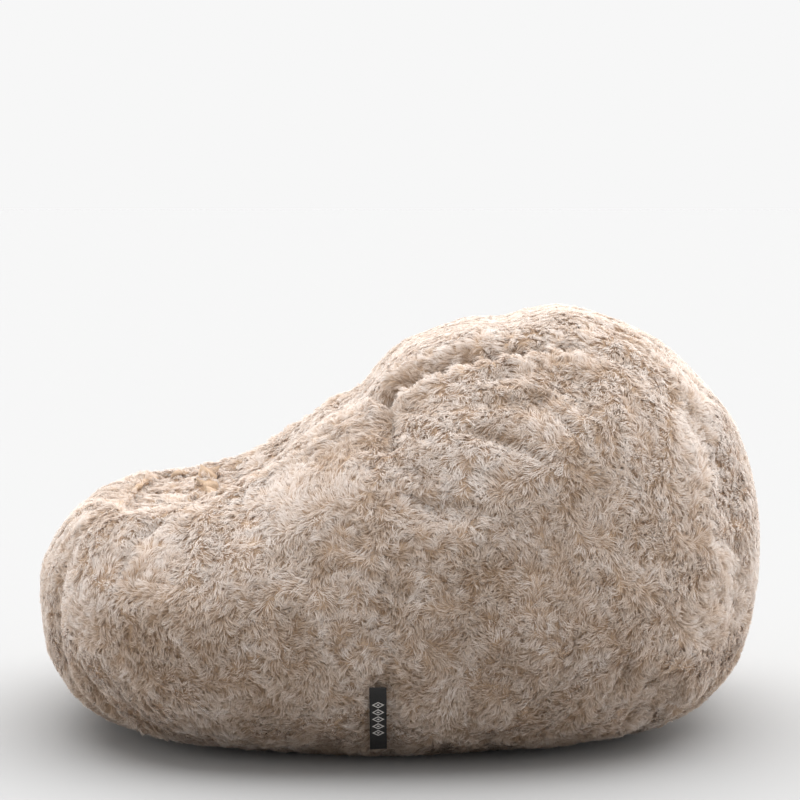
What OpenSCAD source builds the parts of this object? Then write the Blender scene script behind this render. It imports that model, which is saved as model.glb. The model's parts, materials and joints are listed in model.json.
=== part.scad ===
// Bean bag chair: a long-pile cover in ten panels, its zip, the inner liner bag and the bead fill.
// Frame: +Z up, the sitter faces -Y, the origin is on the floor at the middle of the bounding box.

/* [Overall] */
// Length from the front roll to the back of the bag
body_length = 945; // [700:1:1200]
// Width across the two rounded sides
body_width = 860; // [650:1:1100]
// Height of the crown of the backrest
body_height = 548; // [420:1:700]
// Height of the side crests beside the seat
seat_height = 335; // [270:1:380]
// Height of the roll in front of the seat
roll_height = 301; // [240:1:330]
// How far the underside would sag below the floor if nothing held it flat
floor_sag = 32; // [20:1:60]
// Height of the widest part of the bag
belly_height = 215; // [180:1:250]
// Length that the front of the side seams stands in front of the middle
side_seam_forward = 16; // [0:1:60]

/* [Seat] */
// Width of the centre strip between the two top seams
strip_width = 460; // [320:1:560]
// Depth of the seat hollow below its side crests
seat_dish = 50; // [10:1:70]
// Depth of the backrest hollow
back_dish = 16; // [0:1:30]
// Roundness of the sides in plan
side_roundness = 2.6; // [2.2:0.1:3.2]
// Fullness of the sides below the widest part
low_fullness = 2.75; // [2:0.05:3.5]

/* [Cover] */
// Depth of the pile with its backing
pile_depth = 18; // [10:0.5:26]
// Thickness of the base fabric
base_fabric = 1.8; // [1:0.1:3]
// Gap between the base panels and the pile panels around them
base_gap = 5; // [4:0.5:8]
// Gap along the top seams between the strip and the sides
panel_gap = 0.3; // [0.2:0.05:1]
// Width of the folded hem beside the cover zip
hem_width = 14; // [10:1:22]
// Radius of the seam threads
seam_radius = 1.2; // [0.8:0.1:2]
// Gap between a seam thread and the panels it holds
seam_gap = 0.5; // [0.3:0.1:1.5]

/* [Side label] */
// Length of the woven label along its seam
label_length = 88; // [50:1:100]
// Width of the woven label from its seam
label_width = 22; // [16:1:32]
// Thickness of the folded label
label_thickness = 1.2; // [0.8:0.1:2]
// Height of the label's middle above the floor
label_height = 60; // [50:1:110]
// Gap between the label and the pile behind it
label_gap = 0.5; // [0.3:0.1:2]

/* [Zips] */
// Length of the cover zip's chain
cover_zip_length = 448; // [300:8:480]
// Length of the liner zip's chain
liner_zip_length = 304; // [200:8:400]
// Distance from the cover zip to the liner zip
liner_zip_offset = 45; // [30:1:70]
// Pitch of the zip's teeth
tooth_pitch = 4; // [3:0.5:5]
// Distance from the zip's middle to the edge of its tape
chain_half_width = 3.4; // [2.8:0.1:4.5]
// Gap along the middle of the chain, where the slider's wedge runs
chain_gap = 1.2; // [1:0.1:1.6]
// Height of the teeth
tooth_height = 2.6; // [2:0.1:3.4]
// Width of each zip tape
tape_width = 15; // [12:0.5:20]
// Thickness of the zip tapes
tape_thickness = 0.6; // [0.4:0.1:1]
// Length of each slider
slider_length = 14; // [10:0.5:20]
// Width of each slider
slider_width = 11; // [9:0.5:14]
// Thickness of the slider's plates
slider_plate = 1.3; // [0.9:0.1:2]
// Running clearance around the teeth inside the slider
slider_clearance = 0.35; // [0.25:0.05:0.6]

/* [Liner] */
// Gap between the cover and the liner bag
liner_gap = 7; // [5:0.5:12]
// Thickness of the liner fabric
liner_fabric = 1.2; // [0.8:0.1:2]
// Gap between the liner's base and the rim of its sides
liner_rim_gap = 0.3; // [0.2:0.1:1]
// Height of the liner's base above the floor
liner_floor = 10; // [8.5:0.5:14]
// Gap between the liner bag and the beads
fill_gap = 3; // [2:0.5:8]

/* [Care label] */
// Length of the care label
care_length = 60; // [40:1:90]
// Width of the care label
care_width = 35; // [25:1:50]
// Thickness of the care label
care_thickness = 0.5; // [0.3:0.1:1]

/* [Hidden] */

pile_colour = "#a8968a";
pale_pile_colour = "#cabfb5";
base_colour = "#4a4540";
thread_colour = "#8b7a6c";
zip_colour = "#2f2b29";
metal_colour = "#8d8d8d";
liner_colour = "#e8e6e0";
bead_colour = "#f7f7f4";
label_colour = "#26221f";

// Steps in each span of the outline and from a seam to the side's middle, and the strip's step
span_steps = 4;
side_steps = 10;
strip_step = 39;
// The liner and the beads have fewer steps
liner_span_steps = 3;
liner_side_steps = 9;
thread_sides = 6;
cut = 0.01;

half_width = body_width / 2;
half_length = body_length / 2;
half_strip = strip_width / 2;
strip_steps = ceil(half_strip / strip_step);
middle = [-side_seam_forward, belly_height];

// Side outline as [y, z], clockwise from the front foot, before it is fitted to the length and height
rough_outline = [
    [-0.667 * half_length, 0.5],
    [-0.925 * half_length, 0.23 * belly_height],
    [-0.998 * half_length, 0.70 * belly_height],
    [-0.980 * half_length, 0.81 * roll_height],
    [-0.850 * half_length, roll_height],
    [-0.563 * half_length, seat_height],
    [-0.265 * half_length, 0.62 * seat_height + 0.38 * body_height],
    [0.068 * half_length, 0.92 * body_height],
    [0.377 * half_length, 0.993 * body_height],
    [0.646 * half_length, 0.973 * body_height],
    [0.872 * half_length, 0.811 * body_height],
    [0.986 * half_length, 0.556 * body_height],
    [0.974 * half_length, 0.70 * belly_height],
    [0.860 * half_length, 0.18 * belly_height],
    [0.607 * half_length, 4],
    [-side_seam_forward, -floor_sag]];
corners = len(rough_outline);

// Where the cross seams lie along the outline, counted in its points
roll_at = 4.25;
seat_at = 6.35;
crown_at = 9.4;
dish_span = [3.3, 7.3];
back_span = [6.4, 8.3];
lowest_at = corners - 1;

// ---- The bag's surface ----

// Smooth curve through four neighbouring points
function curve(a, b, c, d, f) = 0.5 * (2 * b + (c - a) * f + (2 * a - 5 * b + 4 * c - d) * f * f
    + (3 * b - a - 3 * c + d) * f * f * f);
function wrapped(points, i) = points[((i % corners) + corners) % corners];
function along(points, t) = let (i = floor(t))
    curve(wrapped(points, i - 1), wrapped(points, i), wrapped(points, i + 1), wrapped(points, i + 2), t - i);
rough_run = [for (t = [0 : 0.05 : corners]) along(rough_outline, t)];
rough_front = min([for (p = rough_run) p[0]]);
rough_back = max([for (p = rough_run) p[0]]);
rough_top = max([for (p = rough_run) p[1]]);
outline = [for (p = rough_outline) [
    (p[0] - (rough_front + rough_back) / 2) * body_length / (rough_back - rough_front),
    p[1] > 0 ? p[1] * body_height / rough_top : p[1]]];

// Direction out of the bag, square to the outline
function outward(t) = let (ahead = along(outline, t + 0.05) - along(outline, t - 0.05))
    [-ahead[1], ahead[0]] / norm(ahead);
// The outline drawn in by a depth, square to itself
function drawn_in(t, depth) = along(outline, t) - depth * outward(t);
// Place on the outline where its y (axis 0) or z (axis 1) reaches a value, by halving the span
function find(axis, value, low, high, depth = 0, steps = 16) = let (m = (low + high) / 2)
    steps == 0 ? m
    : (drawn_in(m, depth)[axis] - value) * (drawn_in(low, depth)[axis] - value) > 0
        ? find(axis, value, m, high, depth, steps - 1) : find(axis, value, low, m, depth, steps - 1);
// Places where the outline of the middle plane meets a level, in front and behind
function front_meets(level, depth) = find(1, level, lowest_at, corners + 1, depth) - corners;
function rear_meets(level, depth) = find(1, level, lowest_at - 2, lowest_at, depth);
// Exponent of the bulge: fuller below the middle than above it
function fullness(t) = let (arm = along(outline, t) - middle,
    low = min(1, max(0, 0.5 - 1.2 * arm[1] / norm(arm))))
    2 + (low_fullness - 2) * low * low * (3 - 2 * low);
function swell(t, span) = t > span[0] && t < span[1]
    ? pow(sin(180 * (t - span[0]) / (span[1] - span[0])), 2) : 0;
function hollow(t, x) = let (across = pow(max(0, 1 - pow(x / half_strip, 2)), 1.5))
    across * (seat_dish * swell(t, dish_span) + back_dish * swell(t, back_span));

// Point on the surface at an outline place and an angle: 0 at the side's middle, 90 at the middle plane
function bag_point(t, angle, depth, side) = let (
    x = (half_width - depth) * pow(cos(angle), 2 / side_roundness),
    p = drawn_in(t, depth + hollow(t, x)),
    q = middle + (p - middle) * pow(sin(angle), 2 / fullness(t)))
    [side * x, q[0], q[1]];
// Angle of a station at a distance from the middle plane
function station(x, depth) = acos(pow(min(1, abs(x) / (half_width - depth)), side_roundness / 2));
// Angle at which the surface meets a level, or 90 where it stays above it
function floor_angle(t, depth, level) = let (p = drawn_in(t, depth))
    p[1] >= level ? 90
    : asin(pow((belly_height - level) / (belly_height - p[1]), fullness(t) / 2));
function foot_point(t, depth, level, side) = bag_point(t, floor_angle(t, depth, level), depth, side);
// A foot point moved level towards the middle of the base
function moved_in(p, by) = let (arm = [p[0], p[1] - middle[0]], length = norm(arm))
    [arm[0] * (1 - by / length), middle[0] + arm[1] * (1 - by / length), p[2]];

// Places on the outline: above and below the middle, and where the middle plane meets the floor
top_at = find(0, middle[0], 6, 8);
bottom_at = find(0, middle[0], lowest_at - 1, lowest_at + 1);
rear_foot_at = rear_meets(0, 0);

// Outline place where the surface meets the floor at a station of the strip
function strip_floor(x, low, high, steps = 16) = let (m = (low + high) / 2,
    above = bag_point(m, station(x, 0), 0, 1)[2] > 0,
    same = above == (bag_point(low, station(x, 0), 0, 1)[2] > 0))
    steps == 0 ? m
    : same ? strip_floor(x, m, high, steps - 1) : strip_floor(x, low, m, steps - 1);
function strip_front(x) = strip_floor(x, lowest_at, corners + 1) - corners;
function strip_rear(x) = strip_floor(x, lowest_at - 2, lowest_at);

// ---- Meshes ----

function flat(lists) = [for (l = lists) for (v = l) v];
function steps_between(a, b, n) = [for (i = [0 : n]) a + (b - a) * i / n];
function turned(faces) = [for (f = faces) [f[2], f[1], f[0]]];

// Two triangles for each cell of a sheet; the last row may be a single point
function sheet_index(i, j, columns, rows, pole) = pole && j == rows - 1 ? columns * j : columns * j + i;
function sheet_faces(columns, rows, pole, start) = [
    for (j = [0 : rows - 2]) for (i = [0 : columns - 2]) let (
        a = start + sheet_index(i, j, columns, rows, pole),
        b = start + sheet_index(i + 1, j, columns, rows, pole),
        c = start + sheet_index(i + 1, j + 1, columns, rows, pole),
        d = start + sheet_index(i, j + 1, columns, rows, pole))
        each c == d ? [[a, b, c]] : [[a, b, c], [a, c, d]]];
// The wall between the outer and the inner sheet along a run of matching points; the runs that
// come back split their cells the other way, so neighbouring panels share their walls
function wall_faces(run, gap) = flat([for (i = [0 : len(run) - 2])
    [[run[i], run[i] + gap, run[i + 1] + gap], [run[i], run[i + 1] + gap, run[i + 1]]]]);
function wall_faces_back(run, gap) = flat([for (i = [0 : len(run) - 2])
    [[run[i], run[i] + gap, run[i + 1]], [run[i] + gap, run[i + 1] + gap, run[i + 1]]]]);

// Closed shell between an outer and an inner sheet, each a list of rows
module shell(outer, inner, pole, mirrored) {
    rows = len(outer);
    columns = len(outer[0]);
    outer_points = flat(outer);
    gap = len(outer_points);
    top = sheet_faces(columns, rows, pole, 0);
    bottom = turned(sheet_faces(columns, rows, pole, gap));
    function at(i, j) = sheet_index(i, j, columns, rows, pole);
    out = concat([for (i = [0 : columns - 1]) at(i, 0)], [for (j = [1 : rows - 1]) at(columns - 1, j)]);
    back = concat(pole ? [at(0, rows - 1)] : [for (i = [columns - 1 : -1 : 0]) at(i, rows - 1)],
        [for (j = [rows - 2 : -1 : 0]) at(0, j)]);
    faces = concat(top, bottom, wall_faces(out, gap), wall_faces_back(back, gap));
    polyhedron(points = concat(outer_points, flat(inner)), faces = mirrored ? faces : turned(faces));
}

// Places along the outline at which each panel of the centre strip has its rows, at one station
front_steps = ceil(roll_at * span_steps);
seat_steps = ceil((seat_at - roll_at) * span_steps) + 1;
back_steps = ceil((crown_at - top_at) * span_steps);
rear_steps = ceil((rear_foot_at - crown_at) * span_steps);
function front_places(x) = steps_between(strip_front(x), roll_at, front_steps);
function seat_places(x) = steps_between(roll_at, seat_at, seat_steps);
function back_places(x) = concat([seat_at], steps_between(top_at, crown_at, back_steps));
function rear_places(x) = steps_between(crown_at, strip_rear(x), rear_steps);
// The same places along a top seam, where the sides meet the strip
function but_last(list) = [for (i = [0 : len(list) - 2]) list[i]];
seam_places = concat(but_last(front_places(half_strip)), but_last(seat_places(half_strip)),
    but_last(back_places(half_strip)), rear_places(half_strip));

// Panel of the centre strip from its rows of places; its first or last row may rest on the floor
module strip_panel(places, first_down, last_down) {
    stations = steps_between(-half_strip, half_strip, 2 * strip_steps);
    runs = [for (x = stations) places(x)];
    last = len(runs[0]) - 1;
    function down(j) = (first_down && j == 0) || (last_down && j == last);
    function outer(i, j) = let (x = stations[i], p = bag_point(runs[i][j], station(x, 0), 0, sign(x)))
        [x, p[1], down(j) ? 0 : p[2]];
    function inner(i, j) = down(j) ? moved_in(outer(i, j), pile_depth)
        : let (x = stations[i], p = bag_point(runs[i][j], station(x, 0), pile_depth, sign(x)))
            [x * (1 - pile_depth / half_width), p[1], p[2]];
    shell([for (j = [0 : last]) [for (i = [0 : len(stations) - 1]) outer(i, j)]],
        [for (j = [0 : last]) [for (i = [0 : len(stations) - 1]) inner(i, j)]], false, false);
}

// Sheet of a side, from its seam or the floor to the side's middle, as rows that end in one point
function side_rows(places, depth, seam, level, steps, side) = [for (j = [0 : steps])
    [for (t = j == steps ? [places[0]] : places) let (
        start = min(station(seam, depth), floor_angle(t, depth, level)))
        bag_point(t, j == steps ? 0 : start * (1 - j / steps), depth, side)]];
function resting(t, depth, seam, level) = floor_angle(t, depth, level) <= station(seam, depth) + cut;
function settled(rows, places, depth, seam, level, by) = [for (j = [0 : len(rows) - 1])
    [for (i = [0 : len(rows[j]) - 1]) j == 0 && resting(places[i], depth, seam, level)
        ? moved_in([rows[j][i][0], rows[j][i][1], level], by) : rows[j][i]]];

// Half of a side over a run of outline places
module side_panel(places, side) {
    seam = half_strip + panel_gap;
    outer = settled(side_rows(places, 0, seam, 0, side_steps, side), places, 0, seam, 0, 0);
    under = side_rows(places, pile_depth, seam - half_strip * pile_depth / half_width, 0, side_steps, side);
    foot = [for (i = [0 : len(places) - 1]) resting(places[i], 0, seam, 0)
        ? moved_in(outer[0][i], pile_depth) : under[0][i]];
    inner = concat([foot], [for (j = [1 : side_steps]) under[j]]);
    shell(outer, inner, true, side > 0);
}

// Thread along a list of points, which may close on itself
module thread(points, radius, closed) {
    n = len(points);
    last = n - 1;
    function before(i) = closed ? points[(i + last) % n] : points[max(0, i - 1)];
    function after(i) = closed ? points[(i + 1) % n] : points[min(last, i + 1)];
    function unit(v) = v / norm(v);
    function outward(i) = unit([points[i][0], points[i][1] - middle[0], points[i][2] - belly_height]);
    rings = [for (i = [0 : last]) let (
        ahead = unit(after(i) - before(i)),
        across = unit(cross(ahead, outward(i))),
        up = cross(across, ahead))
        [for (s = [0 : thread_sides - 1]) let (a = 360 * s / thread_sides)
            points[i] + radius * (cos(a) * across + sin(a) * up)]];
    function id(i, s) = (i % n) * thread_sides + s % thread_sides;
    body = [for (i = [0 : closed ? last : last - 1]) for (s = [0 : thread_sides - 1]) each [
        [id(i, s), id(i + 1, s + 1), id(i + 1, s)],
        [id(i, s), id(i, s + 1), id(i + 1, s + 1)]]];
    caps = closed ? [] : [
        [for (s = [thread_sides - 1 : -1 : 0]) s],
        [for (s = [0 : thread_sides - 1]) last * thread_sides + s]];
    polyhedron(points = flat(rings), faces = concat(body, caps));
}

// ---- Cover panels ----

module front_panel() color(pile_colour) strip_panel(function(x) front_places(x), true, false);
module seat_panel() color(pale_pile_colour) strip_panel(function(x) seat_places(x), false, false);
module back_panel() color(pale_pile_colour) strip_panel(function(x) back_places(x), false, false);
module rear_panel() color(pile_colour) strip_panel(function(x) rear_places(x), false, true);

// Places over each half of a side: along the foot, then along the top seam
foot_steps = 3;
seam_front_at = strip_front(half_strip);
seam_rear_at = strip_rear(half_strip);
front_side_places = concat(steps_between(bottom_at - corners, seam_front_at, foot_steps),
    [for (t = seam_places) if (t > seam_front_at + cut && t < top_at - cut) t], [top_at]);
rear_side_places = concat([top_at],
    [for (t = seam_places) if (t > top_at + cut && t < seam_rear_at - cut) t],
    steps_between(seam_rear_at, bottom_at, foot_steps));
module left_front_side_panel() color(pile_colour) side_panel(front_side_places, 1);
module left_rear_side_panel() color(pile_colour) side_panel(rear_side_places, 1);
module right_front_side_panel() color(pile_colour) side_panel(front_side_places, -1);
module right_rear_side_panel() color(pile_colour) side_panel(rear_side_places, -1);

// ---- Bases of the cover and of the liner ----

base_steps = 28;
// One side's edge of the footprint, from its front to its rear, closer set at both ends
function foot_run(depth, level, by, side) = let (
    front = front_meets(level, depth),
    rear = rear_meets(level, depth) - corners)
    [for (a = steps_between(0, 180, base_steps)) let (
        t = front + (rear - front) * (1 - cos(a)) / 2,
        p = moved_in(foot_point(t, depth, level, side), by))
        [p[0], p[1]]];
module footprint(depth, level, by) {
    left = foot_run(depth, level, by, 1);
    right = foot_run(depth, level, by, -1);
    last = len(left) - 1;
    polygon(concat(left, [for (i = [last - 1 : -1 : 1]) right[i]]));
}
// The part of the footprint on one side (-1 front, 1 rear) of a slot across it
module half_footprint(depth, level, by, slot_y, slot_half, end) {
    intersection() {
        footprint(depth, level, by);
        translate([-body_width, slot_y + (end > 0 ? slot_half : -slot_half - body_length)])
            square([2 * body_width, body_length]);
    }
}

cover_slot_half = chain_half_width + 5;
// The hem stops short of the base seam by this much
hem_clear = 6 * seam_radius;
module base_half(end) {
    linear_extrude(base_fabric)
        half_footprint(0, 0, pile_depth + base_gap, middle[0], cover_slot_half, end);
    // Hem folded up beside the zip
    translate([0, 0, base_fabric])
        linear_extrude(base_fabric)
            intersection() {
                half_footprint(0, 0, pile_depth + base_gap + hem_clear, middle[0], cover_slot_half, end);
                translate([0, middle[0] + end * (cover_slot_half + hem_width / 2)])
                    square([2 * body_width, hem_width], center = true);
            }
}
module base_front_panel() color(base_colour) base_half(-1);
module base_rear_panel() color(base_colour) base_half(1);

// ---- Seams ----

thread_depth = pile_depth + seam_radius + seam_gap;
thread_level = base_fabric + seam_radius + seam_gap;
function strip_end(depth) = half_strip * (1 - depth / half_width);
// The top seams' threads stop short of the floor by this much of an outline span
foot_clear = 0.2;
function top_seam_run(side) = let (
    x = strip_end(thread_depth))
    [for (t = seam_places) if (t > seam_front_at + foot_clear && t < seam_rear_at - foot_clear)
        bag_point(t, station(x, thread_depth), thread_depth, side)];
module left_top_seam() color(thread_colour) thread(top_seam_run(1), seam_radius, false);
module right_top_seam() color(thread_colour) thread(top_seam_run(-1), seam_radius, false);

module cross_seam(t) {
    whole = strip_end(thread_depth);
    reach = whole - 3 * seam_radius;
    thread([for (s = steps_between(-whole, whole, 2 * strip_steps)) let (x = max(-reach, min(reach, s)))
        bag_point(t, station(x, thread_depth), thread_depth, x < 0 ? -1 : 1)], seam_radius, false);
}
module roll_seam() color(thread_colour) cross_seam(roll_at);
module seat_seam() color(thread_colour) cross_seam(seat_at);
module crown_seam() color(thread_colour) cross_seam(crown_at);

function side_seam_run(side) = let (
    top = station(strip_end(thread_depth) + 3 * seam_radius, thread_depth),
    low = floor_angle(bottom_at, thread_depth, thread_level + 3 * seam_radius))
    concat([for (a = steps_between(top, 0, side_steps)) bag_point(top_at, a, thread_depth, side)],
        [for (a = steps_between(0, low, side_steps)) if (a > 0) bag_point(bottom_at, a, thread_depth, side)]);
module left_side_seam() color(thread_colour) thread(side_seam_run(1), seam_radius, false);
module right_side_seam() color(thread_colour) thread(side_seam_run(-1), seam_radius, false);

function base_seam_run() = let (
    by = pile_depth + base_gap + 2 * seam_radius,
    left = foot_run(0, 0, by, 1),
    right = foot_run(0, 0, by, -1),
    ring = concat(left, [for (i = [len(left) - 2 : -1 : 1]) right[i]]))
    [for (p = ring) [p[0], p[1], thread_level]];
module base_seam() color(thread_colour) thread(base_seam_run(), seam_radius, true);

// ---- Labels ----

// Point and slope of the left side seam behind the middle of the label
label_angle = find_label_angle(0, floor_angle(bottom_at, 0, 0));
function find_label_angle(low, high, steps = 16) = let (m = (low + high) / 2)
    steps == 0 ? m
    : bag_point(bottom_at, m, 0, 1)[2] > label_height
        ? find_label_angle(m, high, steps - 1) : find_label_angle(low, m, steps - 1);
label_point = bag_point(bottom_at, label_angle, 0, 1);
label_rise = bag_point(bottom_at, label_angle - 4, 0, 1) - bag_point(bottom_at, label_angle + 4, 0, 1);
label_tilt = atan2(label_rise[0], label_rise[2]);
module side_label() color(label_colour)
    translate(label_point)
        rotate([0, label_tilt, 0])
            translate([label_gap, -label_width, -label_length / 2])
                cube([label_thickness, label_width, label_length]);

module care_label() color(liner_colour)
    translate([cover_zip_length / 4, middle[0] + cover_slot_half + hem_width + 3, base_fabric + seam_gap])
        cube([care_width, care_length, care_thickness]);

// ---- Zips ----

cover_zip_level = 2 * base_fabric + tape_thickness / 2;
liner_zip_level = liner_floor + liner_fabric + tape_thickness / 2;
liner_zip_y = middle[0] + liner_zip_offset;
end_room = 6;

module zip_tape(length, end) {
    long = length + 2 * end_room;
    translate([-long / 2, end > 0 ? chain_half_width : -chain_half_width - tape_width, -tape_thickness / 2])
        cube([long, tape_width, tape_thickness]);
}
// Teeth along one edge; each half faces the other across the chain gap
module zip_teeth(length, end) {
    spine = chain_half_width - chain_gap / 2;
    tooth = 0.55 * tooth_pitch;
    linear_extrude(tooth_height, center = true)
        scale([1, end])
            for (x = [-length / 2 : tooth_pitch : length / 2 - tooth_pitch])
                translate([x, chain_gap / 2])
                    union() {
                        square([tooth, spine]);
                        translate([-cut, 0.7 * spine])
                            square([tooth_pitch + 2 * cut, 0.3 * spine]);
                    }
}
slider_inside = tooth_height + 2 * slider_clearance;
module zip_slider(length) {
    wedge = chain_gap - 2 * slider_clearance;
    translate([length / 2 - slider_length, 0, 0]) {
        for (z = [slider_inside / 2, -slider_inside / 2 - slider_plate])
            translate([0, -slider_width / 2, z])
                cube([slider_length, slider_width, slider_plate]);
        translate([0.3 * slider_length, -wedge / 2, -slider_inside / 2 - cut])
            cube([0.4 * slider_length, wedge, slider_inside + 2 * cut]);
    }
}
module zip_stops(length) {
    for (x = [-length / 2 - end_room / 2, length / 2 + end_room / 2])
        translate([x, 0, 0])
            cube([end_room / 2, 2 * chain_half_width - 2 * cut, tooth_height], center = true);
}

module at_cover_zip() translate([0, middle[0], cover_zip_level]) children();
module cover_zip_front_tape() color(zip_colour) at_cover_zip() zip_tape(cover_zip_length, -1);
module cover_zip_rear_tape() color(zip_colour) at_cover_zip() zip_tape(cover_zip_length, 1);
module cover_zip_front_teeth() color(zip_colour) at_cover_zip() zip_teeth(cover_zip_length, -1);
module cover_zip_rear_teeth() color(zip_colour) at_cover_zip() zip_teeth(cover_zip_length, 1);
module cover_zip_slider() color(metal_colour) at_cover_zip() zip_slider(cover_zip_length);
module cover_zip_stops() color(metal_colour) at_cover_zip() zip_stops(cover_zip_length);

module at_liner_zip() translate([0, liner_zip_y, liner_zip_level]) children();
module liner_zip_front_tape() color(liner_colour) at_liner_zip() zip_tape(liner_zip_length, -1);
module liner_zip_rear_tape() color(liner_colour) at_liner_zip() zip_tape(liner_zip_length, 1);
module liner_zip_front_teeth() color(liner_colour) at_liner_zip() zip_teeth(liner_zip_length, -1);
module liner_zip_rear_teeth() color(liner_colour) at_liner_zip() zip_teeth(liner_zip_length, 1);
module liner_zip_slider() color(metal_colour) at_liner_zip() zip_slider(liner_zip_length);
module liner_zip_stops() color(metal_colour) at_liner_zip() zip_stops(liner_zip_length);

// ---- Liner bag and beads ----

liner_depth = pile_depth + liner_gap;
liner_rim = liner_floor + liner_fabric + liner_rim_gap;
function liner_places() = steps_between(0, corners, corners * liner_span_steps);

// Half of the liner: closed around the outline, open along the middle plane and at its base
module liner_panel(side) {
    places = liner_places();
    n = len(places) - 1;
    function rows(depth, level) = [for (j = [0 : liner_side_steps])
        [for (i = [0 : n - 1]) let (
            t = places[i],
            start = floor_angle(t, depth, level),
            a = start * (1 - j / liner_side_steps))
            bag_point(t, a, depth, side)]];
    outer = rows(liner_depth, liner_rim);
    inner = rows(liner_depth + liner_fabric, liner_rim);
    function id(i, j, layer) = layer * (n * liner_side_steps + 1)
        + (j == liner_side_steps ? n * liner_side_steps : j * n + i % n);
    function skin(layer) = [for (j = [0 : liner_side_steps - 1]) for (i = [0 : n - 1]) let (
        a = id(i, j, layer), b = id(i + 1, j, layer), c = id(i + 1, j + 1, layer), d = id(i, j + 1, layer))
        each c == d ? [[a, b, c]] : [[a, b, c], [a, c, d]]];
    rim = [for (i = [0 : n - 1]) each [
        [id(i, 0, 0), id(i, 0, 1), id(i + 1, 0, 1)], [id(i, 0, 0), id(i + 1, 0, 1), id(i + 1, 0, 0)]]];
    function points(r) = concat(flat([for (j = [0 : liner_side_steps - 1]) r[j]]), [r[liner_side_steps][0]]);
    faces = concat(skin(0), turned(skin(1)), rim);
    polyhedron(points = concat(points(outer), points(inner)), faces = side > 0 ? faces : turned(faces));
}
module liner_left_panel() color(liner_colour) liner_panel(1);
module liner_right_panel() color(liner_colour) liner_panel(-1);

liner_slot_half = chain_half_width + 5;
module liner_base(end) {
    translate([0, 0, liner_floor])
        linear_extrude(liner_fabric)
            half_footprint(liner_depth, liner_rim, 0, liner_zip_y, liner_slot_half, end);
}
module liner_base_front() color(liner_colour) liner_base(-1);
module liner_base_rear() color(liner_colour) liner_base(1);

// Thread that closes the two halves along the middle plane, inside the bag
liner_thread_depth = liner_depth + 2 * liner_fabric + seam_radius / 2 + seam_gap;
module liner_seam() color(liner_colour)
    thread([for (t = liner_places()) if (t > front_meets(liner_rim, liner_depth) + foot_clear
        && t < rear_meets(liner_rim, liner_depth) - foot_clear)
        bag_point(t, 90, liner_thread_depth, 1)], seam_radius / 2, false);

// The beads, as one body that fills the liner
fill_depth = liner_thread_depth + seam_radius / 2 + fill_gap;
fill_floor = liner_zip_level + tooth_height / 2 + slider_clearance + slider_plate + fill_gap;
module bead_body() {
    places = liner_places();
    n = len(places) - 1;
    last = 2 * liner_side_steps;
    function spot(i, j) = let (a = 90 - abs(90 - 180 * j / last),
        p = bag_point(places[i], a, fill_depth, j < liner_side_steps ? -1 : 1))
        [p[0], p[1], max(fill_floor, p[2])];
    function id(i, j) = j == 0 ? 0 : j == last ? n * (last - 1) + 1 : 1 + (j - 1) * n + i % n;
    points = concat([spot(0, 0)], [for (j = [1 : last - 1]) for (i = [0 : n - 1]) spot(i, j)],
        [spot(0, last)]);
    faces = [for (j = [0 : last - 1]) for (i = [0 : n - 1]) let (
        a = id(i, j), b = id(i + 1, j), c = id(i + 1, j + 1), d = id(i, j + 1))
        each a == b ? [[a, c, d]] : c == d ? [[a, b, c]] : [[a, b, c], [a, c, d]]];
    polyhedron(points = points, faces = faces);
}
module bean_fill() color(bead_colour) bead_body();

front_panel();
seat_panel();
back_panel();
rear_panel();
left_front_side_panel();
left_rear_side_panel();
right_front_side_panel();
right_rear_side_panel();
base_front_panel();
base_rear_panel();
left_top_seam();
right_top_seam();
roll_seam();
seat_seam();
crown_seam();
left_side_seam();
right_side_seam();
base_seam();
side_label();
care_label();
cover_zip_front_tape();
cover_zip_rear_tape();
cover_zip_front_teeth();
cover_zip_rear_teeth();
cover_zip_slider();
cover_zip_stops();
liner_left_panel();
liner_right_panel();
liner_base_front();
liner_base_rear();
liner_seam();
liner_zip_front_tape();
liner_zip_rear_tape();
liner_zip_front_teeth();
liner_zip_rear_teeth();
liner_zip_slider();
liner_zip_stops();
bean_fill();
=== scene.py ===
import bpy
import bmesh
import json
import math
import numpy as np
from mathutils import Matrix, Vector
from mathutils.bvhtree import BVHTree
from mathutils.kdtree import KDTree


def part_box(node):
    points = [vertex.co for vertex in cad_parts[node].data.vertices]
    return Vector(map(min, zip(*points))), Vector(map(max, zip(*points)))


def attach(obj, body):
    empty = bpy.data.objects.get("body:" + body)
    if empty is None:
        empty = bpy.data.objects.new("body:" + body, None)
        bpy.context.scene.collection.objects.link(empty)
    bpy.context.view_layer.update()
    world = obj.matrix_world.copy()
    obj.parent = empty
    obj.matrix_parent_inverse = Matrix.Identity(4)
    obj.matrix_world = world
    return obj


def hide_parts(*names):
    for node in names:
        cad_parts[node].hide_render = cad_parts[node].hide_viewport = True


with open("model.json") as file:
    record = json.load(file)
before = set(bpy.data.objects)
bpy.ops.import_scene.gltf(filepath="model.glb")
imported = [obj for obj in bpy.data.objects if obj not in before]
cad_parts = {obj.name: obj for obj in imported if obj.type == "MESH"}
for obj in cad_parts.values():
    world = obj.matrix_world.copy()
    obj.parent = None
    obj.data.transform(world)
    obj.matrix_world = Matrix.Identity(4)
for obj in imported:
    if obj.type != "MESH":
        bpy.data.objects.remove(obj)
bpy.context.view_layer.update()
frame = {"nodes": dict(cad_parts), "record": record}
scene = bpy.context.scene
nodes = frame["nodes"]

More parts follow.
